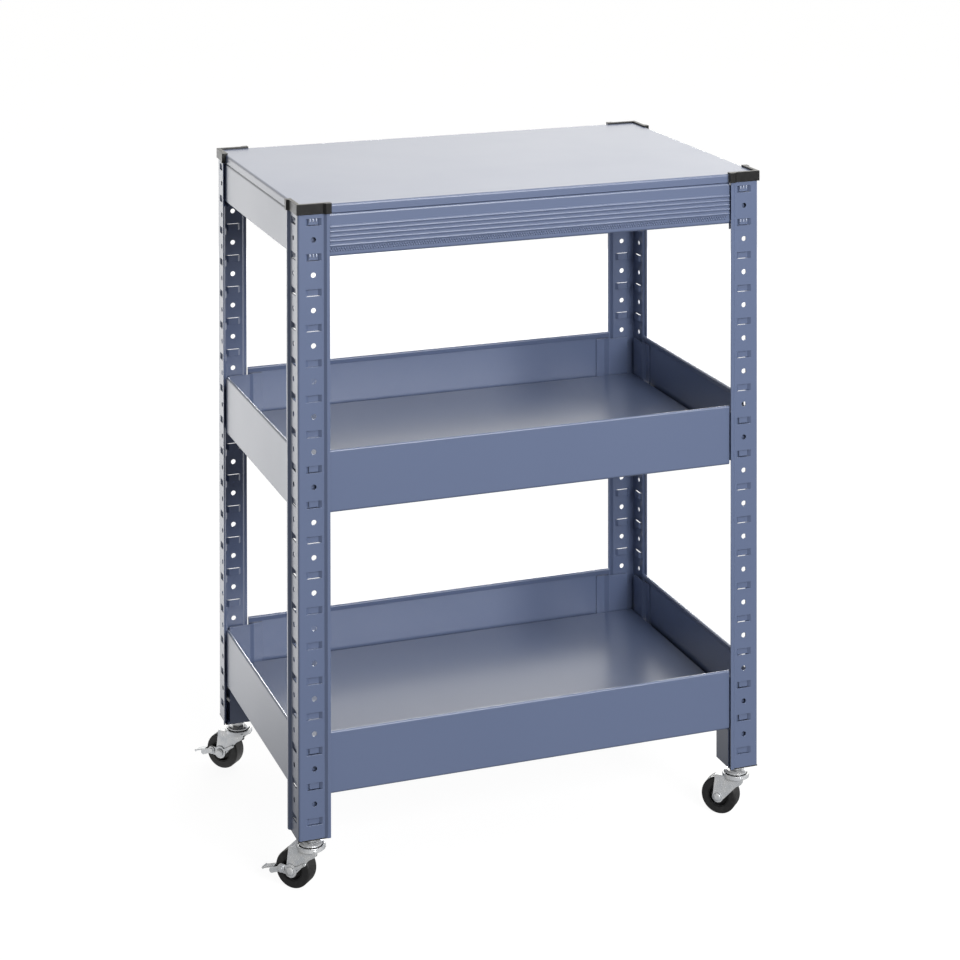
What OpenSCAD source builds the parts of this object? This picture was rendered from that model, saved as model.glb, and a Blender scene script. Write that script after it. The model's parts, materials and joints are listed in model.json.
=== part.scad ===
// Three-level tool cart on swivel casters, built from perforated angle posts.
// Origin: on the floor, under the middle of the four posts. +X right, +Y rear, +Z up.

/* [Frame] */
// Width over the outer faces of the posts
frame_w = 575; // [450:1:800]
// Depth over the outer faces of the posts
frame_d = 370; // [320:1:600]
// Number of hole steps in the height of a post
post_steps = 18; // [14:1:24]
// Distance from one post hole to the next
hole_pitch = 40; // [40:1:50]
// Thickness of the frame's sheet steel
sheet = 1.2; // [1:0.1:1.5]

/* [Posts] */
// Width of each flange of a post
flange_w = 37; // [36:1:45]
// How far the stepped edge of a flange stands out of its face
curl_h = 3; // [2.5:0.1:4]
// Diameter of the round post holes
hole_d = 6; // [4:0.5:8]
// Distance from the post's corner to its column of holes
hole_inset = 18.5; // [18:0.5:19]
// Length of the strap of each hook slot
slot_w = 19; // [17:0.5:20]
// Height of the strap of each hook slot
slot_h = 8; // [6:0.5:10]
// How far the strap is pressed inwards
slot_depth = 3; // [3:0.1:3.5]

/* [Trays] */
// Height of the tray walls
wall_h = 71; // [60:1:90]
// Hook slot, counted from the bottom, that holds the lower tray
lower_slot = 1; // [1:1:3]
// Hook slot, counted from the bottom, that holds the middle tray
middle_slot = 9; // [6:1:12]
// Height of the tray floor panels
floor_h = 12; // [8:1:16]

/* [Worktop] */
// Height of the folded edge of the worktop
worktop_h = 10; // [8:1:14]
// Height of the beams under the worktop
beam_h = 49.5; // [45:0.5:55]
// Number of ribs on the front beam
rib_count = 5; // [3:1:6]
// Distance from one rib to the next
rib_pitch = 5.3; // [4.5:0.1:6]

/* [Casters] */
// Height from the floor to the bottom of the posts
caster_h = 65; // [64:0.5:80]
// Diameter of the wheels
wheel_d = 44; // [36:1:44]
// Width of the wheels
wheel_w = 19; // [14:1:20]
// Distance from the swivel axis back to the wheel's axle
trail = 19; // [15:1:20]
// Direction that the wheels trail in, at rest, turned from +X towards +Y
heading = 135; // [0:5:355]

/* [Hidden] */
$fn = 48;
eps = 0.01;

paint = "#64708c";
paint_dark = "#5b6782";
plastic = "#2b2c2e";
zinc = "#c9cccf";
rubber = "#1d1e1f";

// Gap left between neighbouring sheet parts
seat = 0.1;

// Posts
post_h = post_steps * hole_pitch;
post_top = caster_h + post_h;
corner_r = 2.4;
step_x = flange_w - 6.5;

// Sheet ends that hook into the slots
hook_face = slot_depth + sheet + 0.3;
hook_w = slot_w - 8;
hook_t = 1.2;
bracket_far = flange_w + 19;
wall_gap = flange_w + 0.6;
wall_below_slot = 11.5;

// Levels
slot_first = hole_pitch / 2;
lower_z = caster_h + slot_first + lower_slot * hole_pitch - wall_below_slot;
middle_z = caster_h + slot_first + middle_slot * hole_pitch - wall_below_slot;
worktop_top = post_top - 1;
worktop_z = worktop_top - worktop_h;
beam_z = worktop_z - beam_h - 0.3;
beam_low_slot = caster_h + slot_first + (post_steps - 2) * hole_pitch;

// Wall and beam sections
bend_r = 3;
hem_r = 2;
hem_drop = 7.2;
ledge_w = 22;
rib_r = 1.6;
rib_out = 1.3;
panel_r = 2.5;

// Casters
stem_inset = 19.5;
axle_z = wheel_d / 2;
axle_r = 3;
run_gap = 0.05;
crown_z = wheel_d + 3;
crown_t = 2.4;
ball_d = 3;
ball_ring_r = 11;
ball_count = 14;
race_z = crown_z + crown_t + ball_d + 2 * run_gap;
race_t = 2.5;
race_r = 13.5;
king_r = 4;
stem_r = 4.9;
stem_end = caster_h + 14;
foot_t = 2.5;
pad_t = 1.2;
nut_h = 6;
leg_in = wheel_w / 2 + 1;
leg_t = 2;
leg_out = leg_in + leg_t;
eye_r = 6.8;
leg_front = -13;
leg_rear = trail + 3;
plate_t = 1.2;
bracket_in = leg_out + seat;
bracket_out = bracket_in + plate_t;
pedal_in = bracket_out + 0.2;
pedal_out = pedal_in + plate_t;
pivot_x = trail + 12;
pivot_z = axle_z + 1;
rivet_r = 1.5;
pedal_root = trail + wheel_d / 2 + 1.2;

// One corner of the frame: children are drawn with the corner at the origin,
// the front flange along +X and the side flange along +Y.
module at_corner(right, rear) {
    mirror([right ? 1 : 0, 0, 0])
        mirror([0, rear ? 1 : 0, 0])
            translate([-frame_w / 2, -frame_d / 2, 0])
                children();
}

// One side of the frame: children run along X with their outer face at y = 0
// and grow inwards along +Y.
module on_front() translate([0, -frame_d / 2, 0]) children();
module on_rear() rotate(180) translate([0, -frame_d / 2, 0]) children();
module on_right() rotate(90) translate([0, -frame_w / 2, 0]) children();
module on_left() rotate(270) translate([0, -frame_w / 2, 0]) children();

// Swaps the X and Y axes, so that what suits one flange suits the other.
module both_flanges() {
    children();
    mirror([1, -1, 0]) children();
}

// Extrudes a section, drawn as (inwards, up), along X over a centred length.
module along_x(length) {
    translate([-length / 2, 0, 0])
        rotate([90, 0, 90])
            linear_extrude(length)
                children();
}

module quarter_ring(outer_r, inner_r, turn) {
    intersection() {
        difference() {
            circle(outer_r);
            circle(inner_r);
        }
        rotate(turn) square(outer_r + 1);
    }
}

// ---------------------------------------------------------------- posts

// One flange of the angle, from the end of the corner bend to its edge, which is stepped outwards.
module flange_section(extra) {
    ramp_x = step_x + curl_h;
    shift = sheet * tan(22.5);
    difference() {
        offset(delta = extra)
            polygon([
                [corner_r, 0], [step_x, 0], [ramp_x, -curl_h], [flange_w, -curl_h],
                [flange_w, sheet - curl_h], [ramp_x + shift, sheet - curl_h],
                [step_x + shift, sheet], [corner_r, sheet]
            ]);
        translate([corner_r - 1, -5]) square([1, 10]);
    }
}

module post_section(extra = 0) {
    both_flanges() flange_section(extra);
    translate([corner_r, corner_r])
        quarter_ring(corner_r + extra, corner_r - sheet - extra, 180);
}

// A strap sheared from the flange and pressed inwards.
module slot_strap() {
    slope = 3.5;
    inner_slope = slope - 0.3;
    linear_extrude(slot_h)
        polygon([
            [0, 0], [slope, slot_depth],
            [slot_w - slope, slot_depth], [slot_w, 0],
            [slot_w, sheet], [slot_w - inner_slope, slot_depth + sheet],
            [inner_slope, slot_depth + sheet], [0, sheet]
        ]);
}

module post() {
    slot_x = hole_inset - slot_w / 2;
    color(paint)
    translate([0, 0, caster_h]) {
        difference() {
            linear_extrude(post_h) post_section();
            both_flanges() {
                for (i = [1 : post_steps - 1])
                    translate([hole_inset, -1, i * hole_pitch])
                        rotate([-90, 0, 0]) cylinder(d = hole_d, h = sheet + 2);
                for (i = [0 : post_steps - 1])
                    translate([slot_x, -1, slot_first + i * hole_pitch - slot_h / 2])
                        cube([slot_w, sheet + 2, slot_h]);
            }
        }
        both_flanges()
            for (i = [0 : post_steps - 1])
                translate([slot_x, 0, slot_first + i * hole_pitch - slot_h / 2])
                    slot_strap();
    }
}

// Plastic cap pushed over the top of a post.
module cap() {
    skirt = 12;
    roof = 1;
    proud = 1.6;
    depth = sheet + 1.6;
    over = 1.8;
    top = post_top + roof;
    color(plastic)
    difference() {
        translate([0, 0, top - skirt])
            linear_extrude(skirt)
                both_flanges() {
                    translate([-proud, -proud]) square([flange_w + proud, proud + depth]);
                    polygon([
                        [step_x - 1.2, -proud], [step_x + curl_h - 1.2, -curl_h - proud],
                        [flange_w + over, -curl_h - proud], [flange_w + over, depth],
                        [step_x - 1.2, depth]
                    ]);
                }
        translate([0, 0, top - skirt - 1])
            linear_extrude(skirt - roof + 1)
                post_section(seat);
    }
}

// Box-shaped socket that closes the bottom of a post and holds the caster.
module foot() {
    box_h = 46;
    inner = flange_w;
    outer = hook_face;
    floor_from = corner_r - 0.6;
    color(paint_dark)
    translate([0, 0, caster_h])
        difference() {
            union() {
                translate([outer, outer, 0])
                    cube([inner - outer, inner - outer, box_h]);
                translate([floor_from, floor_from, 0])
                    cube([inner - floor_from, inner - floor_from, foot_t]);
            }
            translate([outer + sheet, outer + sheet, foot_t])
                cube([inner - outer - 2 * sheet, inner - outer - 2 * sheet, box_h]);
            translate([stem_inset, stem_inset, -1])
                cylinder(r = stem_r + 0.2, h = foot_t + 2);
        }
}

// Pads between the posts and the collars of the caster stems.
module foot_pads() {
    pad_w = flange_w - 2.5;
    color(rubber)
        for (right = [false, true], rear = [false, true])
            at_corner(right, rear)
                translate([0, 0, caster_h - pad_t - run_gap])
                    difference() {
                        translate([seat, seat, 0]) cube([pad_w, pad_w, pad_t]);
                        translate([stem_inset, stem_inset, -1])
                            cylinder(r = stem_r + 0.2, h = pad_t + 2);
                    }
}

// ---------------------------------------------------------------- walls and beams

// Bracket welded behind the end of a wall. Its tongues drop into the hook slots.
// Drawn for the left end, with the post's corner at the origin. The hook plate runs
// from hook_z to to_z, and the leg welded to the wall starts at leg_z.
module end_bracket(hook_z, leg_z, to_z, slots) {
    plate_from = hole_inset - hook_w / 2 - 1;
    bend_x = flange_w + 1.5;
    translate([plate_from, hook_face, hook_z])
        cube([flange_w - 1 - plate_from, sheet, to_z - hook_z]);
    translate([0, 0, leg_z])
        linear_extrude(to_z - leg_z)
            polygon([
                [flange_w - 1, hook_face], [bend_x, hook_face],
                [bend_x + 5.5, sheet], [bracket_far, sheet],
                [bracket_far, 2 * sheet], [bend_x + 6, 2 * sheet],
                [bend_x + 0.5, hook_face + sheet], [flange_w - 1, hook_face + sheet]
            ]);
    for (z = slots)
        translate([hole_inset - hook_w / 2, sheet + 0.3, z]) {
            translate([0, 0, -3]) cube([hook_w, hook_t, 10.5]);
            translate([0, 0, slot_h / 2 + run_gap])
                cube([hook_w, hook_face - sheet - 0.3 + eps, 3.4]);
        }
}

module both_ends(span) {
    translate([-span / 2, 0, 0]) children();
    mirror([1, 0, 0]) translate([-span / 2, 0, 0]) children();
}

// Section of a tray wall: hemmed top, plain web and a ledge for the floor panel.
module wall_section() {
    translate([0, bend_r]) square([sheet, wall_h - bend_r - hem_r]);
    translate([bend_r, bend_r]) quarter_ring(bend_r, bend_r - sheet, 180);
    translate([bend_r, 0]) square([ledge_w - bend_r, sheet]);
    translate([hem_r, wall_h - hem_r]) {
        quarter_ring(hem_r, hem_r - sheet, 0);
        quarter_ring(hem_r, hem_r - sheet, 90);
    }
    polygon([
        [2 * hem_r, wall_h - hem_r], [2 * hem_r - sheet, wall_h - hem_r],
        [sheet + 0.1, wall_h - hem_drop], [2 * sheet, wall_h - hem_drop]
    ]);
}

module wall(span, z) {
    slot_z = z + wall_below_slot;
    length = span - 2 * wall_gap;
    ledge_trim = bracket_far + 1 - wall_gap;
    color(paint) {
        difference() {
            translate([0, 0, z]) along_x(length) wall_section();
            both_ends(length)
                translate([-1, bend_r + eps, z - 1])
                    cube([ledge_trim + 1, ledge_w, sheet + 1 + eps]);
        }
        both_ends(span)
            end_bracket(z + 4, z + 4, z + wall_h - 9, [slot_z, slot_z + hole_pitch]);
    }
}

// Section of the plain beams under the worktop.
module beam_section() {
    flange = 15;
    translate([0, bend_r]) square([sheet, beam_h - 2 * bend_r]);
    translate([bend_r, bend_r]) quarter_ring(bend_r, bend_r - sheet, 180);
    translate([bend_r, 0]) square([flange - bend_r, sheet]);
    translate([bend_r, beam_h - bend_r]) quarter_ring(bend_r, bend_r - sheet, 90);
    translate([bend_r, beam_h - sheet]) square([flange - bend_r, sheet]);
}

module rib_section() {
    rib_top = 33.8;
    for (i = [0 : rib_count - 1])
        intersection() {
            translate([rib_r - rib_out, rib_top - i * rib_pitch]) circle(rib_r);
            translate([-rib_r, 0]) square([rib_r + sheet, beam_h]);
        }
}

module beam(span, ribbed) {
    length = span - 2 * wall_gap;
    color(paint) {
        difference() {
            translate([0, 0, beam_z]) along_x(length) beam_section();
            both_ends(length)
                translate([-1, bend_r + eps, beam_z - 1])
                    cube([bracket_far + 2 - wall_gap, 20, sheet + 1 + eps]);
            both_ends(length)
                translate([-1, bend_r + eps, beam_z + beam_h - sheet - eps])
                    cube([bracket_far + 2 - wall_gap, 20, sheet + 1]);
        }
        if (ribbed)
            translate([0, 0, beam_z]) along_x(length - 0.6) rib_section();
        both_ends(span)
            end_bracket(
                beam_low_slot - 8, beam_z + 4, beam_z + beam_h - 4,
                [beam_low_slot, beam_low_slot + hole_pitch]
            );
    }
}

// ---------------------------------------------------------------- panels

// Outline of a panel: it fills the posts' corners up to corner_gap and reaches
// edge_gap between them. Every edge that reaches edge_gap is cut back by trim.
module panel_outline(edge_gap, corner_gap, notch, trim) {
    square([frame_w - 2 * corner_gap, frame_d - 2 * corner_gap], center = true);
    square([frame_w - 2 * notch, frame_d - 2 * (edge_gap + trim)], center = true);
    square([frame_w - 2 * (edge_gap + trim), frame_d - 2 * notch], center = true);
}

// Folded edge of a panel, drawn as (inwards, up) with its top at height h.
module panel_edge_section(edge_gap, h) {
    translate([edge_gap, 0]) square([sheet, h - panel_r]);
    translate([edge_gap + panel_r, h - panel_r])
        quarter_ring(panel_r, panel_r - sheet, 90);
}

module panel(edge_gap, corner_gap, notch, h) {
    translate([0, 0, h - sheet])
        linear_extrude(sheet)
            panel_outline(edge_gap, corner_gap, notch, panel_r);
    long_edge = frame_w - 2 * notch;
    short_edge = frame_d - 2 * notch;
    on_front() along_x(long_edge) panel_edge_section(edge_gap, h);
    on_rear() along_x(long_edge) panel_edge_section(edge_gap, h);
    on_left() along_x(short_edge) panel_edge_section(edge_gap, h);
    on_right() along_x(short_edge) panel_edge_section(edge_gap, h);
}

module worktop() {
    color(paint)
    translate([0, 0, worktop_z])
        panel(0, sheet + 2, flange_w + 2.2, worktop_h);
}

module tray_floor(z) {
    color(paint)
    translate([0, 0, z + sheet + seat])
        panel(4.2, hook_face + sheet + 0.6, bracket_far + 1.5, floor_h);
}

// ---------------------------------------------------------------- casters

// A caster stands on its swivel axis and trails along its own +X.
module at_caster(right, rear) {
    x = (right ? 1 : -1) * (frame_w / 2 - stem_inset);
    y = (rear ? 1 : -1) * (frame_d / 2 - stem_inset);
    translate([x, y, 0]) rotate(heading) children();
}

// A short cylinder across the fork, along Y.
module cross_pin(x, z, r, from_y, to_y) {
    translate([x, from_y, z]) rotate([-90, 0, 0]) cylinder(r = r, h = to_y - from_y);
}

// The stem: threaded shank, hexagonal collar, upper race and riveted king pin.
module stem() {
    head_h = 1.9;
    collar_z = race_z + race_t;
    color(zinc)
    difference() {
        union() {
            translate([0, 0, crown_z - 2]) cylinder(r = king_r, h = race_z - crown_z + 2);
            translate([0, 0, crown_z - seat - head_h]) cylinder(r = king_r + 2, h = head_h);
            translate([0, 0, race_z]) cylinder(r = race_r, h = race_t - 1);
            translate([0, 0, race_z + race_t - 1])
                cylinder(r1 = race_r, r2 = race_r - 2.5, h = 1);
            translate([0, 0, collar_z])
                cylinder(d = 15, h = caster_h - pad_t - 2 * run_gap - collar_z, $fn = 6);
            translate([0, 0, collar_z]) cylinder(r = stem_r, h = stem_end - collar_z);
        }
        translate([0, 0, stem_end - 1]) difference() {
            cylinder(r = stem_r + 1, h = 2);
            cylinder(r1 = stem_r, r2 = stem_r - 1, h = 1 + eps);
        }
    }
}

module stem_nut() {
    translate([0, 0, caster_h + foot_t + run_gap])
        difference() {
            cylinder(d = 19, h = nut_h, $fn = 6);
            translate([0, 0, -1]) cylinder(r = stem_r + run_gap, h = nut_h + 2);
        }
}

module stem_nuts() {
    color(zinc)
        for (right = [false, true], rear = [false, true])
            at_caster(right, rear) stem_nut();
}

// Side of the fork, drawn as (back, up): broad at the crown, round at the axle.
module leg_outline() {
    lead = [-4.5, crown_z - 9];
    to_axle = [trail, axle_z] - lead;
    reach = norm(to_axle);
    meet_r = eye_r - 0.3;
    tangent_turn = atan2(to_axle[1], to_axle[0]) - asin(meet_r / reach);
    tangent = sqrt(reach * reach - meet_r * meet_r);
    foot_point = lead + tangent * [cos(tangent_turn), sin(tangent_turn)];
    polygon([
        lead, foot_point, [trail, axle_z], [trail + eye_r - 0.4, axle_z],
        [leg_rear, crown_z + crown_t], [leg_front, crown_z + crown_t],
        [leg_front, crown_z - 2], [leg_front + 2, crown_z - 5]
    ]);
    translate([trail, axle_z]) circle(eye_r);
}

// Puts an outline drawn as (back, up) on both sides, between y = near and y = far.
module both_sides(near, far) {
    for (side = [0, 1])
        mirror([0, side, 0])
            translate([0, far, 0])
                rotate([90, 0, 0])
                    linear_extrude(far - near)
                        children();
}

module fork() {
    lip_r = race_r + 2.6;
    lip_t = 1.8;
    lip_h = 2.2;
    color(zinc)
    difference() {
        union() {
            both_sides(leg_in, leg_out) leg_outline();
            translate([leg_front, -leg_out, crown_z])
                cube([leg_rear - leg_front, 2 * leg_out, crown_t]);
            translate([0, 0, crown_z]) cylinder(r = lip_r, h = crown_t);
            translate([0, 0, crown_z + crown_t - eps])
                difference() {
                    cylinder(r = lip_r, h = lip_h);
                    translate([0, 0, -1]) cylinder(r = lip_r - lip_t, h = lip_h + 2);
                }
        }
        translate([0, 0, crown_z - 1]) cylinder(r = king_r + run_gap, h = crown_t + 2);
        cross_pin(trail, axle_z, axle_r + run_gap, -leg_out - 1, leg_out + 1);
    }
}

module swivel_balls() {
    color(zinc)
        for (i = [0 : ball_count - 1])
            rotate(i * 360 / ball_count)
                translate([ball_ring_r, 0, crown_z + crown_t + run_gap + ball_d / 2])
                    sphere(d = ball_d);
}

// Axle bolt with a round head on one side and a nut on the other.
module axle(outside) {
    color(zinc) {
        cross_pin(trail, axle_z, axle_r, -outside - 3.5, outside + 1);
        cross_pin(trail, axle_z, 4.6, outside + seat, outside + 1.6);
        translate([trail, outside + 1.6, axle_z])
            rotate([-90, 0, 0]) cylinder(r1 = 4.6, r2 = 3, h = 0.9);
        translate([trail, -outside - seat, axle_z])
            rotate([90, 0, 0]) cylinder(d = 10, h = 3, $fn = 6);
    }
}

module hub() {
    boss_w = wheel_w + 2 * (1 - seat);
    web_w = 8;
    color(plastic)
    translate([trail, 0, axle_z])
        rotate([90, 0, 0])
            difference() {
                union() {
                    cylinder(r = 5.5, h = boss_w, center = true);
                    cylinder(r = 13.45, h = web_w, center = true);
                    difference() {
                        cylinder(r = 13.45, h = wheel_w - 1, center = true);
                        cylinder(r = 12, h = wheel_w, center = true);
                    }
                }
                cylinder(r = axle_r + run_gap, h = boss_w + 2, center = true);
            }
}

module tyre() {
    tread_r = 2.5;
    wheel_r = wheel_d / 2;
    color(rubber)
    translate([trail, 0, axle_z])
        rotate([90, 0, 0])
            rotate_extrude($fn = 96) {
                translate([13.5, -wheel_w / 2])
                    square([wheel_r - tread_r - 13.5, wheel_w]);
                translate([13.5, -wheel_w / 2 + tread_r])
                    square([wheel_r - 13.5, wheel_w - 2 * tread_r]);
                for (side = [-1, 1])
                    translate([wheel_r - tread_r, side * (wheel_w / 2 - tread_r)])
                        circle(tread_r);
            }
}

// ---------------------------------------------------------------- brakes

// Bar between two points of an outline, with round ends a little wider than the bar,
// so that no edge of the bar is tangent to its ends.
module link(a, b, w) {
    d = b - a;
    bar_w = w - 0.2;
    translate(a) circle(w / 2);
    translate(b) circle(w / 2);
    translate(a) rotate(atan2(d[1], d[0])) translate([0, -bar_w / 2]) square([norm(d), bar_w]);
}

// Two cheeks held by the axle bolt, each with a short arm ahead of the axle.
module brake_bracket() {
    nose_r = wheel_d / 2 - 1;
    nose = [trail - nose_r * cos(30), axle_z + nose_r * sin(30)];
    color(zinc) {
        difference() {
            both_sides(bracket_in, bracket_out) {
                translate([trail, axle_z]) circle(7.6);
                link([trail, axle_z], [pivot_x, pivot_z], 10);
                link([trail, axle_z], nose, 3.4);
            }
            cross_pin(trail, axle_z, axle_r + run_gap, -bracket_out - 1, bracket_out + 1);
            cross_pin(pivot_x, pivot_z, rivet_r + run_gap, -bracket_out - 1, bracket_out + 1);
        }
        both_sides(bracket_out - 0.5, bracket_out + 0.9)
            translate(nose) circle(1.4);
    }
}

// Foot pedal: two arms outside the saddle and a tread plate that reaches back.
module brake_pedal() {
    root = [pedal_root + 0.6, pivot_z - 4.2];
    tip = [trail + 41.5, pivot_z - 9.5];
    plate_w = 9;
    color(zinc) {
        difference() {
            both_sides(pedal_in, pedal_out) {
                translate([pivot_x, pivot_z]) circle(4.5);
                link([pivot_x, pivot_z], root, 6);
            }
            cross_pin(pivot_x, pivot_z, rivet_r + run_gap, -pedal_out - 1, pedal_out + 1);
        }
        translate([0, pedal_out, 0]) rotate([90, 0, 0])
            linear_extrude(2 * pedal_out) link(root, root + [0, 2.5], 1.6);
        translate([0, plate_w / 2, 0]) rotate([90, 0, 0])
            linear_extrude(plate_w) link(root, tip, 1.6);
        translate([tip[0], plate_w / 2, tip[1]]) rotate([90, 0, 0])
            cylinder(r = 1.4, h = plate_w);
    }
}

// Short rivets that the pedal's arms turn on.
module brake_rivets() {
    color(zinc)
        for (side = [0, 1])
            mirror([0, side, 0]) {
                cross_pin(pivot_x, pivot_z, rivet_r, bracket_in, pedal_out + 0.5);
                cross_pin(pivot_x, pivot_z, 2.7, pedal_out + run_gap, pedal_out + 1.1);
            }
}

// Only the casters on the left have a brake saddle under their axle nuts.
module caster_axle(right, rear) {
    at_caster(right, rear) axle(right ? leg_out : bracket_out);
}

// ---------------------------------------------------------------- assembly

at_corner(false, false) post();  // post_front_left
at_corner(true, false) post();  // post_front_right
at_corner(false, true) post();  // post_rear_left
at_corner(true, true) post();  // post_rear_right
at_corner(false, false) cap();  // cap_front_left
at_corner(true, false) cap();  // cap_front_right
at_corner(false, true) cap();  // cap_rear_left
at_corner(true, true) cap();  // cap_rear_right
at_corner(false, false) foot();  // foot_front_left
at_corner(true, false) foot();  // foot_front_right
at_corner(false, true) foot();  // foot_rear_left
at_corner(true, true) foot();  // foot_rear_right
worktop();
on_front() beam(frame_w, true);  // top_beam_front
on_rear() beam(frame_w, false);  // top_beam_rear
on_left() beam(frame_d, false);  // top_beam_left
on_right() beam(frame_d, false);  // top_beam_right
on_front() wall(frame_w, middle_z);  // middle_wall_front
on_rear() wall(frame_w, middle_z);  // middle_wall_rear
on_left() wall(frame_d, middle_z);  // middle_wall_left
on_right() wall(frame_d, middle_z);  // middle_wall_right
tray_floor(middle_z);  // middle_floor
on_front() wall(frame_w, lower_z);  // lower_wall_front
on_rear() wall(frame_w, lower_z);  // lower_wall_rear
on_left() wall(frame_d, lower_z);  // lower_wall_left
on_right() wall(frame_d, lower_z);  // lower_wall_right
tray_floor(lower_z);  // lower_floor
at_caster(false, false) stem();  // stem_front_left
at_caster(true, false) stem();  // stem_front_right
at_caster(false, true) stem();  // stem_rear_left
at_caster(true, true) stem();  // stem_rear_right
stem_nuts();
foot_pads();
at_caster(false, false) fork();  // fork_front_left
at_caster(true, false) fork();  // fork_front_right
at_caster(false, true) fork();  // fork_rear_left
at_caster(true, true) fork();  // fork_rear_right
at_caster(false, false) swivel_balls();  // swivel_balls_front_left
at_caster(true, false) swivel_balls();  // swivel_balls_front_right
at_caster(false, true) swivel_balls();  // swivel_balls_rear_left
at_caster(true, true) swivel_balls();  // swivel_balls_rear_right
caster_axle(false, false);  // axle_front_left
caster_axle(true, false);  // axle_front_right
caster_axle(false, true);  // axle_rear_left
caster_axle(true, true);  // axle_rear_right
at_caster(false, false) hub();  // hub_front_left
at_caster(true, false) hub();  // hub_front_right
at_caster(false, true) hub();  // hub_rear_left
at_caster(true, true) hub();  // hub_rear_right
at_caster(false, false) tyre();  // tyre_front_left
at_caster(true, false) tyre();  // tyre_front_right
at_caster(false, true) tyre();  // tyre_rear_left
at_caster(true, true) tyre();  // tyre_rear_right
at_caster(false, false) brake_bracket();  // brake_bracket_front_left
at_caster(false, true) brake_bracket();  // brake_bracket_rear_left
at_caster(false, false) brake_pedal();  // brake_pedal_front_left
at_caster(false, true) brake_pedal();  // brake_pedal_rear_left
at_caster(false, false) brake_rivets();  // brake_rivets_front_left
at_caster(false, true) brake_rivets();  // brake_rivets_rear_left
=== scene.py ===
"""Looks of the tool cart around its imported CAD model: materials, small surface details,
studio and camera. All lengths are in metres, in the frame of the CAD model."""

import json
import math

import bmesh
import bpy
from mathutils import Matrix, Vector


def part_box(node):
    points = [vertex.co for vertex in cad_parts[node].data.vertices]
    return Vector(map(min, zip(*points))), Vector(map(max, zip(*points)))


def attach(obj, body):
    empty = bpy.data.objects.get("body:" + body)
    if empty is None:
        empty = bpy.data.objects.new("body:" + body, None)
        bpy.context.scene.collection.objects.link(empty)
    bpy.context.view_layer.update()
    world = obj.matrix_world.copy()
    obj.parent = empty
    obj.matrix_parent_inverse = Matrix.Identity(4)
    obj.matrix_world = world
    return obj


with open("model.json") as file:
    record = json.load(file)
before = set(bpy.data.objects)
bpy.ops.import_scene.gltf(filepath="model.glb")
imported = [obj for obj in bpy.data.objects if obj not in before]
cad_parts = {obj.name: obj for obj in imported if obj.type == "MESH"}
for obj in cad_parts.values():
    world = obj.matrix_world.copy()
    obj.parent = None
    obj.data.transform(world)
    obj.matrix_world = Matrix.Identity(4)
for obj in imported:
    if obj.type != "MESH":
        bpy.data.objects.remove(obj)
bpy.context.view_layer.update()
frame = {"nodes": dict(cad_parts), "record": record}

# Linear colours
SLATE = (0.112, 0.146, 0.248)
# Lighter slate: random tone of the paint, and the painted highlight on its edges
SLATE_LIGHT = (0.200, 0.240, 0.360)
# Light slate of the hook ribs: a painted highlight
RIB_PAINTED_HIGHLIGHT = (0.42, 0.47, 0.60)
# Dark slate painted into narrow gaps as shade
SLATE_PAINTED_SHADE = (0.020, 0.026, 0.050)
BLACK_PLASTIC = (0.010, 0.010, 0.010)
ZINC = (0.90, 0.91, 0.92)
ZINC_COOL = (0.74, 0.77, 0.81)
# Painted highlight on the edges of zinc parts
ZINC_EDGE_HIGHLIGHT = (0.88, 0.89, 0.90)
# Painted shade in the crevices of zinc parts
ZINC_PAINTED_SHADE = (0.07, 0.073, 0.076)
STEEL = (0.62, 0.62, 0.63)
WHEEL_BLACK = (0.012, 0.012, 0.013)
# Painted highlight on the edges of black plastic
PLASTIC_EDGE_HIGHLIGHT = (0.05, 0.05, 0.049)
DUST = (0.06, 0.06, 0.058)
WHITE = (1.0, 1.0, 1.0)
FLOOR_SHADE = (0.13, 0.13, 0.13)

# Holes of the posts, and the tongues of the top beams in the two topmost hook slots:
# the lower tongue's height over the beam's lowest point, and how far it lies behind the post's face
HOLE_PITCH = 0.040
HOLE_INSET = 0.0185
HOOK_RISE = 0.0100
TONGUE_DEPTH = 0.0015

# Ribs on each tongue: width, height and depth of one, and the step between them
HOOK_RIB = (0.0018, 0.0044, 0.0012)
HOOK_RIB_STEP = 0.0038

# Height of the beams under the worktop, without the hook plates behind them
BEAM_H = 0.0495

# Knurl on the front beam: one bump, the step along the beam and between the rows, the height of
# the lower row over the beam's edge, and the plain margin at each end
KNURL = (0.0020, 0.0021, 0.0009)
KNURL_STEP = 0.0030
KNURL_ROWS = 2
KNURL_ROW_STEP = 0.0026
KNURL_RISE = 0.0066
KNURL_MARGIN = 0.027

# Light of the room from all sides, from behind the cart, from its right and from above.
# Only the cart sees it: to the camera the room is plain white.
ROOM_COLOR = (1.0, 0.985, 0.95)
ROOM_GLOW = 0.32
REAR_GLOW = 1.22
REAR_LEFT_SHARE = 0.8
RIGHT_GLOW = 0.7
TOP_GLOW = 0.1
LEFT_SHADE_SHARE = 0.35

# The floor glows by itself: to the camera, to diffuse light, and, as a mirror image in the paint,
# under the cart, near behind it and far behind it
FLOOR_WHITE = 0.92
FLOOR_BOUNCE = 0.15
FLOOR_UNDER = 0.15
FLOOR_BEHIND = 1.45
FLOOR_FAR = 0.55
FLOOR_SIZE = 16.0
FLOOR_REARWARD = 3.0

# Softboxes: name, place, aim, size, watts
LIGHTS = (
    ("top_light", (0.8, -0.9, 2.9), (0, 0, 0.7), (1.4, 0.35), 15.0),
    ("front_light", (0.6, -3.5, 1.9), (0, 0, 0.5), (2.2, 1.6), 138.0),
    ("rear_light", (1.1, 2.8, 0.42), (0, 0, 0.4), (1.3, 0.6), 36.0),
)

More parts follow.
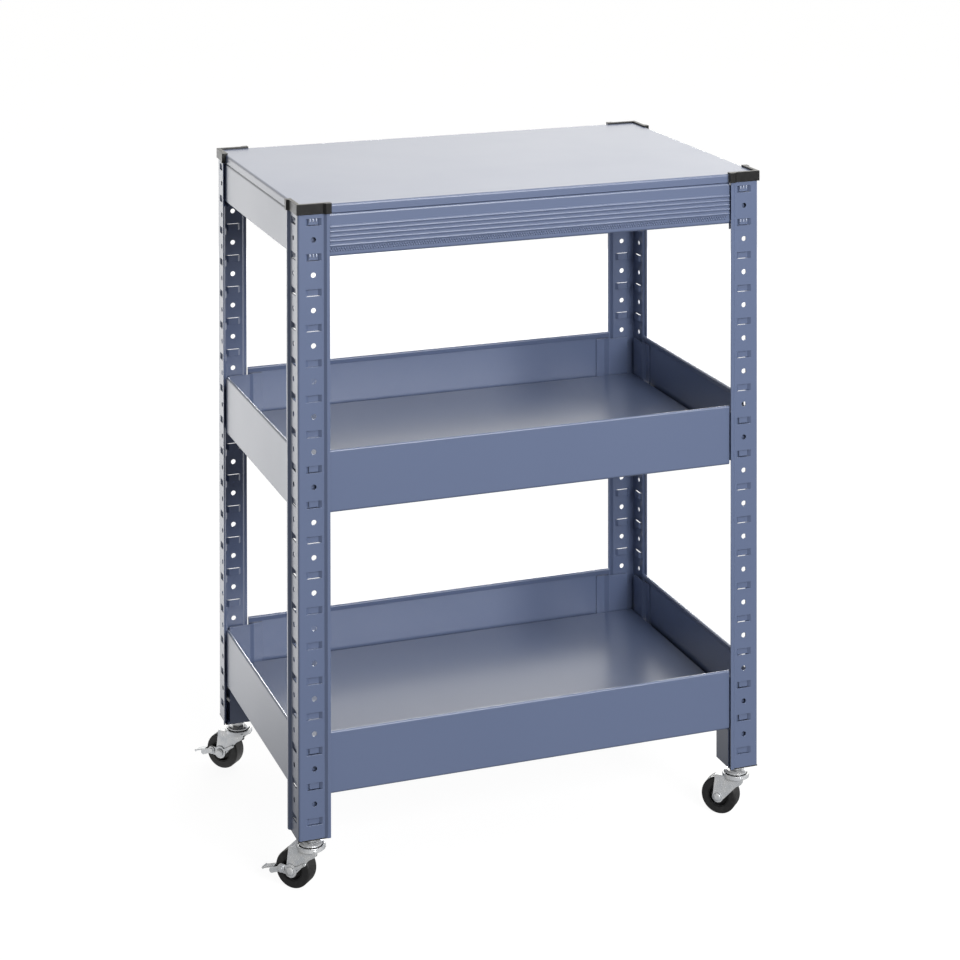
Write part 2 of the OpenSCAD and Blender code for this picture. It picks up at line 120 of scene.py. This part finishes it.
# Camera, on the viewing angle of the reference picture. The lens is shifted down, as an
# architect's camera is, so that upright posts stay upright in the picture. The shift holds up to
# SHIFT_KEPT from the camera's own place and is gone at SHIFT_GONE, for views from other sides.
CAMERA_PLACE = (-1.0195, -2.785, 1.3450)
CAMERA_YAW = 20.1
CAMERA_PITCH = 0.85
CAMERA_ROLL = 0.06
LENS_MM = 90.15
LENS_SHIFT = -0.768
SIDE_SHIFT = -0.0004
SHIFT_KEPT = 0.02
SHIFT_GONE = 0.04


# ------------------------------------------------------------------ node helpers


class Shader:
    """A small builder for node trees: node() makes one, and its inputs take values or sockets."""

    def __init__(self, tree):
        self.tree = tree
        self.tree.nodes.clear()

    def node(self, kind, inputs=None, **settings):
        made = self.tree.nodes.new("ShaderNode" + kind)
        for name, value in settings.items():
            setattr(made, name, value)
        for name, value in (inputs or {}).items():
            socket = made.inputs[name]
            if isinstance(value, bpy.types.NodeSocket):
                self.tree.links.new(value, socket)
            elif isinstance(value, tuple) and len(value) == 3 and socket.type == "RGBA":
                socket.default_value = (*value, 1.0)
            else:
                socket.default_value = value
        return made

    def place(self):
        return self.node("TexCoord").outputs["Object"]

    def noise(self, place, scale, detail=3.0, roughness=0.5):
        inputs = {"Vector": place, "Scale": scale, "Detail": detail, "Roughness": roughness}
        return self.node("TexNoise", inputs).outputs["Fac"]

    def stretch(self, place, scale):
        return self.node("Mapping", {"Vector": place, "Scale": scale}).outputs["Vector"]

    def remap(self, value, low, high, to_low, to_high):
        inputs = {"Value": value, "From Min": low, "From Max": high}
        inputs.update({"To Min": to_low, "To Max": to_high})
        return self.node("MapRange", inputs, clamp=True).outputs["Result"]

    def math(self, operation, first, second):
        made = self.node("Math", {0: first, 1: second}, operation=operation)
        return made.outputs[0]

    def mix(self, factor, first, second):
        made = self.node("Mix", data_type="RGBA")
        for name, value in (("Factor_Float", factor), ("A_Color", first), ("B_Color", second)):
            socket = next(s for s in made.inputs if s.identifier == name)
            if isinstance(value, bpy.types.NodeSocket):
                self.tree.links.new(value, socket)
            elif isinstance(value, tuple):
                socket.default_value = (*value, 1.0)
            else:
                socket.default_value = value
        return next(s for s in made.outputs if s.identifier == "Result_Color")

    def bump(self, height, distance, strength=1.0, normal=None):
        inputs = {"Height": height, "Distance": distance, "Strength": strength}
        if normal is not None:
            inputs["Normal"] = normal
        return self.node("Bump", inputs).outputs["Normal"]

    def dot(self, first, second):
        made = self.node("VectorMath", {0: first, 1: second}, operation="DOT_PRODUCT")
        return made.outputs["Value"]

    def edges(self, radius):
        """(rounded normal, mask that is 1 on sharp edges) from the bevel node."""
        rounded = self.node("Bevel", {"Radius": radius}, samples=6).outputs["Normal"]
        flat = self.node("NewGeometry").outputs["Normal"]
        return rounded, self.remap(self.dot(rounded, flat), 0.99, 0.80, 0.0, 1.0)

    def gap_shade_mask(self, reach, low, high):
        """1 in gaps and grooves narrower than the reach, 0 on open faces: the mask where shade is
        painted in.
        """
        open_share = self.node("AmbientOcclusion", {"Distance": reach}, samples=8).outputs["AO"]
        return self.remap(open_share, low, high, 1.0, 0.0)

    def surface(self, inputs):
        made = self.node("BsdfPrincipled", inputs)
        self.node("OutputMaterial", {"Surface": made.outputs["BSDF"]})


def new_material(name):
    material = bpy.data.materials.new(name)
    material.use_nodes = True
    return material, Shader(material.node_tree)


def paint(name, color, shine, painted_gap_shade):
    """Slate blue semi-gloss coat: orange peel, a painted highlight on folded edges where the paint
    is also thin, painted shade in narrow gaps.
    """
    material, s = new_material(name)
    place = s.place()
    tone = s.remap(s.noise(place, 5.0, 2.0), 0.3, 0.7, 0.0, 0.05)
    speck = s.remap(s.noise(place, 2600.0, 2.0), 0.60, 0.75, 0.0, 0.08)
    normal, edge = s.edges(0.0005)
    base = s.mix(s.math("ADD", tone, speck), color, SLATE_LIGHT)
    # Painted highlight along sharp edges, where the paint is also thin
    base = s.mix(s.math("MULTIPLY", edge, 0.25), base, SLATE_LIGHT)
    # Painted shade: gaps and grooves are darkened towards the dark slate
    base = s.mix(s.math("MULTIPLY", s.gap_shade_mask(0.006, 0.30, 0.66), painted_gap_shade), base, SLATE_PAINTED_SHADE)
    rough = s.remap(s.noise(place, 7.0, 3.0), 0.3, 0.7, shine, shine + 0.03)
    normal = s.bump(s.noise(place, 620.0, 2.0, 0.4), 0.00002, 0.4, normal)
    normal = s.bump(s.noise(place, 3200.0, 2.0), 0.000006, 0.4, normal)
    s.surface({"Base Color": base, "Roughness": rough, "Normal": normal, "IOR": 1.55,
               "Coat Weight": 0.35, "Coat Roughness": shine * 0.7, "Coat IOR": 1.5})
    return material


def plastic(name, color, shine):
    """Black moulded plastic with a fine spark-eroded grain and a painted highlight on sharp edges.
    """
    material, s = new_material(name)
    place = s.place()
    cloud = s.remap(s.noise(place, 60.0, 4.0), 0.3, 0.7, 0.0, 0.25)
    normal, edge = s.edges(0.0007)
    base = s.mix(cloud, color, tuple(c * 1.6 for c in color))
    # Painted highlight along sharp edges
    base = s.mix(s.math("MULTIPLY", edge, 0.3), base, PLASTIC_EDGE_HIGHLIGHT)
    rough = s.math("ADD", s.remap(s.noise(place, 400.0, 3.0), 0.3, 0.7, 0.0, 0.12), shine)
    normal = s.bump(s.noise(place, 2400.0, 3.0, 0.6), 0.00003, 0.8, normal)
    s.surface({"Base Color": base, "Roughness": rough, "Normal": normal, "IOR": 1.42})
    return material


def zinc(name, color, cool, shine):
    """Bright zinc plating: cool clouds, fine polishing lines, dull pits, a painted highlight on
    sharp edges and painted shade in crevices.
    """
    material, s = new_material(name)
    place = s.place()
    cloud = s.remap(s.noise(place, 130.0, 3.0), 0.35, 0.65, 0.0, 1.0)
    normal, edge = s.edges(0.0004)
    base = s.mix(cloud, color, cool)
    # Painted highlight along sharp edges
    base = s.mix(s.math("MULTIPLY", edge, 0.4), base, ZINC_EDGE_HIGHLIGHT)
    # Painted shade: crevices are darkened
    base = s.mix(s.math("MULTIPLY", s.gap_shade_mask(0.006, 0.35, 0.80), 0.9), base, ZINC_PAINTED_SHADE)
    lines = s.noise(s.stretch(place, (1.0, 1.0, 9.0)), 900.0, 3.0, 0.6)
    pits = s.remap(s.noise(place, 700.0, 4.0), 0.62, 0.70, 0.0, 0.15)
    rough = s.math("ADD", s.remap(lines, 0.3, 0.7, 0.0, 0.10), shine)
    rough = s.math("ADD", rough, pits)
    normal = s.bump(lines, 0.00002, 0.3, normal)
    s.surface({"Base Color": base, "Roughness": rough, "Normal": normal, "Metallic": 0.5})
    return material


def rubber(name, color):
    """Hard black rubber, greyed a little where it rolls."""
    material, s = new_material(name)
    place = s.place()
    dust = s.remap(s.noise(place, 220.0, 5.0, 0.6), 0.45, 0.75, 0.0, 0.30)
    base = s.mix(dust, color, DUST)
    rough = s.remap(s.noise(place, 500.0, 4.0), 0.3, 0.7, 0.42, 0.60)
    normal = s.bump(s.noise(place, 1800.0, 4.0, 0.7), 0.00004, 0.7)
    s.surface({"Base Color": base, "Roughness": rough, "Normal": normal, "IOR": 1.5})
    return material


def pale_floor(name):
    """White paper: evenly lit to the camera, with faint shadows. The paint sees it dim
    in front of the cart and bright far behind it, as it is between the lamps of a studio."""
    material, s = new_material(name)
    place = s.place()
    path = s.node("LightPath")
    tone = s.remap(s.noise(place, 3.0, 4.0), 0.3, 0.7, 0.0, 1.0)
    base = s.mix(tone, FLOOR_SHADE, tuple(c * 0.97 for c in FLOOR_SHADE))
    normal = s.bump(s.noise(place, 300.0, 3.0), 0.00004, 0.3)
    paper = s.node("BsdfDiffuse", {"Color": base, "Normal": normal}).outputs[0]
    white = s.node("Emission", {"Color": WHITE, "Strength": FLOOR_WHITE}).outputs[0]
    seen = s.node("AddShader", {0: paper, 1: white}).outputs[0]
    world_place = s.node("NewGeometry").outputs["Position"]
    behind = s.node("SeparateXYZ", {"Vector": world_place}).outputs["Y"]
    near = s.remap(behind, -0.1, 0.5, FLOOR_UNDER, FLOOR_BEHIND)
    mirrored = s.math("ADD", near, s.remap(behind, 0.5, 2.0, 0.0, FLOOR_FAR))
    glossy = s.math("MULTIPLY", path.outputs["Is Glossy Ray"], mirrored)
    strength = s.math("ADD", glossy, FLOOR_BOUNCE)
    bounce = s.node("Emission", {"Color": WHITE, "Strength": strength}).outputs[0]
    to_camera = path.outputs["Is Camera Ray"]
    mixed = s.node("MixShader", {0: to_camera, 1: bounce, 2: seen}).outputs[0]
    s.node("OutputMaterial", {"Surface": mixed})
    return material


MATERIALS = {
    # The last number of each paint is how strongly painted shade darkens its narrow gaps
    "painted_post": paint("post_paint", SLATE, 0.30, 0.25),
    "painted_panel": paint("panel_paint", SLATE, 0.32, 0.95),
    # The hook ribs are painted lighter than the posts, as a painted highlight
    "hook_paint": paint("hook_paint", RIB_PAINTED_HIGHLIGHT, 0.24, 0.0),
    "cap_plastic": plastic("cap_plastic", BLACK_PLASTIC, 0.30),
    "zinc_steel": zinc("zinc_plate", ZINC, ZINC_COOL, 0.20),
    "ball_steel": zinc("ball_steel", STEEL, STEEL, 0.10),
    "wheel_plastic": plastic("wheel_plastic", WHEEL_BLACK, 0.34),
    "tyre_rubber": rubber("tyre_rubber", WHEEL_BLACK),
}


def dress(piece, slot):
    piece.data.materials.clear()
    piece.data.materials.append(MATERIALS[slot])


for part in frame["record"]["subparts"]:
    dress(frame["nodes"][part["node"]], part["material_slot"])


# ------------------------------------------------------------------ pieces built here


def piece_from(name, mesh, body, slot, look=None):
    data = bpy.data.meshes.new(name)
    mesh.to_mesh(data)
    mesh.free()
    piece = bpy.data.objects.new(name, data)
    bpy.context.scene.collection.objects.link(piece)
    dress(piece, look or slot)
    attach(piece, body)


def dome(mesh, centre, out, up, size):
    """A low four-sided bump with a blunt top, standing on a wall that faces along out."""
    width, height, depth = size
    across = out.cross(up)
    rings = ((1.0, -0.2), (1.0, 0.15), (0.72, 0.75), (0.35, 1.0))
    corners = ((-1, -1), (1, -1), (1, 1), (-1, 1))
    loops = []
    for share, rise in rings:
        loop = []
        for a, b in corners:
            offset = across * (a * share * width / 2) + up * (b * share * height / 2)
            loop.append(mesh.verts.new(centre + offset + out * (rise * depth)))
        loops.append(loop)
    for low, high in zip(loops, loops[1:]):
        for i in range(4):
            j = (i + 1) % 4
            mesh.faces.new((low[i], low[j], high[j], high[i]))
    mesh.faces.new(loops[-1])
    mesh.faces.new(loops[0][::-1])


def beam_knurl():
    """Rows of fine bumps rolled into the front beam under its ribs."""
    low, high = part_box("top_beam_front")
    face_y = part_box("middle_wall_front")[0].y
    start = low.x + KNURL_MARGIN
    count = int((high.x - low.x - 2 * KNURL_MARGIN) / KNURL_STEP)
    out, up = Vector((0, -1, 0)), Vector((0, 0, 1))
    mesh = bmesh.new()
    for row in range(KNURL_ROWS):
        z = high.z - BEAM_H + KNURL_RISE + row * KNURL_ROW_STEP
        for i in range(count):
            x = start + (i + 0.5 * row) * KNURL_STEP
            dome(mesh, Vector((x, face_y, z)), out, up, KNURL)
    piece_from("beam_knurl", mesh, "frame", "painted_panel")


def hook_ribs():
    """Three small ribs pressed into every tongue that hooks a top beam into its post."""
    lower_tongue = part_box("top_beam_front")[0].z + HOOK_RISE
    low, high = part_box("worktop")
    up = Vector((0, 0, 1))
    mesh = bmesh.new()
    for right in (False, True):
        for rear in (False, True):
            corner = Vector((high.x if right else low.x, high.y if rear else low.y, 0))
            sideways = Vector((1 if right else -1, 0, 0))
            endways = Vector((0, 1 if rear else -1, 0))
            for out, along in ((sideways, endways), (endways, sideways)):
                for level in (lower_tongue, lower_tongue + HOLE_PITCH):
                    for step in (-HOOK_RIB_STEP, 0.0, HOOK_RIB_STEP):
                        inward = out * TONGUE_DEPTH + along * (HOLE_INSET + step)
                        dome(mesh, corner - inward + up * level, out, up, HOOK_RIB)
    # The ribs wear the lighter hook paint, a painted highlight
    piece_from("hook_ribs", mesh, "frame", "painted_panel", "hook_paint")


beam_knurl()
hook_ribs()


# ------------------------------------------------------------------ studio and camera


def studio_floor():
    place = (0, FLOOR_REARWARD, 0)
    bpy.ops.mesh.primitive_grid_add(
        x_subdivisions=2, y_subdivisions=2, size=FLOOR_SIZE, location=place)
    floor = bpy.context.object
    floor.name = "studio_floor"
    floor.data.materials.append(pale_floor("pale_floor"))


def studio_world():
    """The room's light: bright behind the cart and to its right, dim to its left."""
    world = bpy.data.worlds.new("studio")
    world.use_nodes = True
    bpy.context.scene.world = world
    s = Shader(world.node_tree)
    way = s.node("TexCoord").outputs["Generated"]

    def glow(direction, edge, core, level):
        """The level towards the direction, fading to 0 between two cosines around it."""
        return s.remap(s.dot(way, direction), edge, core, 0.0, level)

    rear = glow((0.50, 0.80, 0.33), 0.72, 0.99, REAR_GLOW)
    rear_left = glow((-0.36, 0.90, 0.25), 0.86, 0.98, REAR_GLOW * REAR_LEFT_SHARE)
    right = glow((0.97, 0.24, 0.0), 0.3, 0.9, RIGHT_GLOW)
    left = glow((-0.95, -0.31, 0.0), 0.0, 0.8, ROOM_GLOW * LEFT_SHADE_SHARE)
    top = glow((0.0, 0.0, 1.0), 0.0, 1.0, TOP_GLOW)
    around = s.math("ADD", s.math("SUBTRACT", ROOM_GLOW, left), s.math("ADD", right, top))
    level = s.math("ADD", around, s.math("MAXIMUM", rear, rear_left))
    seen = s.node("LightPath").outputs["Is Camera Ray"]
    lit = s.node("Background", {"Color": ROOM_COLOR, "Strength": level}).outputs[0]
    plain = s.node("Background", {"Color": WHITE, "Strength": 1.0}).outputs[0]
    mixed = s.node("MixShader", {0: seen, 1: lit, 2: plain}).outputs[0]
    s.node("OutputWorld", {"Surface": mixed})


def softbox(name, place, target, size, watts):
    data = bpy.data.lights.new(name, "AREA")
    data.shape = "RECTANGLE"
    data.size, data.size_y = size
    data.energy = watts
    lamp = bpy.data.objects.new(name, data)
    lamp.location = place
    lamp.visible_camera = False
    aim = Vector(target) - Vector(place)
    lamp.rotation_euler = aim.to_track_quat("-Z", "Y").to_euler()
    bpy.context.scene.collection.objects.link(lamp)


def keep_shift_here(camera, shift):
    """Shifts the lens only while the camera stands in its own place. The shift is driven by a
    curve over the camera's X position that is zero anywhere else."""
    curve = camera.data.driver_add("shift_y")
    while curve.modifiers:
        curve.modifiers.remove(curve.modifiers[0])
    curve.driver.type = "AVERAGE"
    variable = curve.driver.variables.new()
    variable.type = "TRANSFORMS"
    variable.targets[0].id = camera
    variable.targets[0].transform_type = "LOC_X"
    steps = ((-SHIFT_GONE, 0.0), (-SHIFT_KEPT, shift), (SHIFT_KEPT, shift), (SHIFT_GONE, 0.0))
    for offset, value in steps:
        key = curve.keyframe_points.insert(camera.location.x + offset, value)
        key.interpolation = "LINEAR"
    curve.extrapolation = "CONSTANT"


def studio_camera():
    data = bpy.data.cameras.new("camera")
    data.lens = LENS_MM
    data.sensor_width = 36.0
    data.clip_start, data.clip_end = 0.05, 60.0
    camera = bpy.data.objects.new("camera", data)
    camera.location = CAMERA_PLACE
    turns = (90 - CAMERA_PITCH, CAMERA_ROLL, -CAMERA_YAW)
    camera.rotation_euler = [math.radians(turn) for turn in turns]
    bpy.context.scene.collection.objects.link(camera)
    bpy.context.scene.camera = camera
    data.shift_x, data.shift_y = SIDE_SHIFT, LENS_SHIFT
    keep_shift_here(camera, LENS_SHIFT)


studio_floor()
studio_world()
for light in LIGHTS:
    softbox(*light)
studio_camera()
bpy.context.scene.view_settings.view_transform = "Standard"
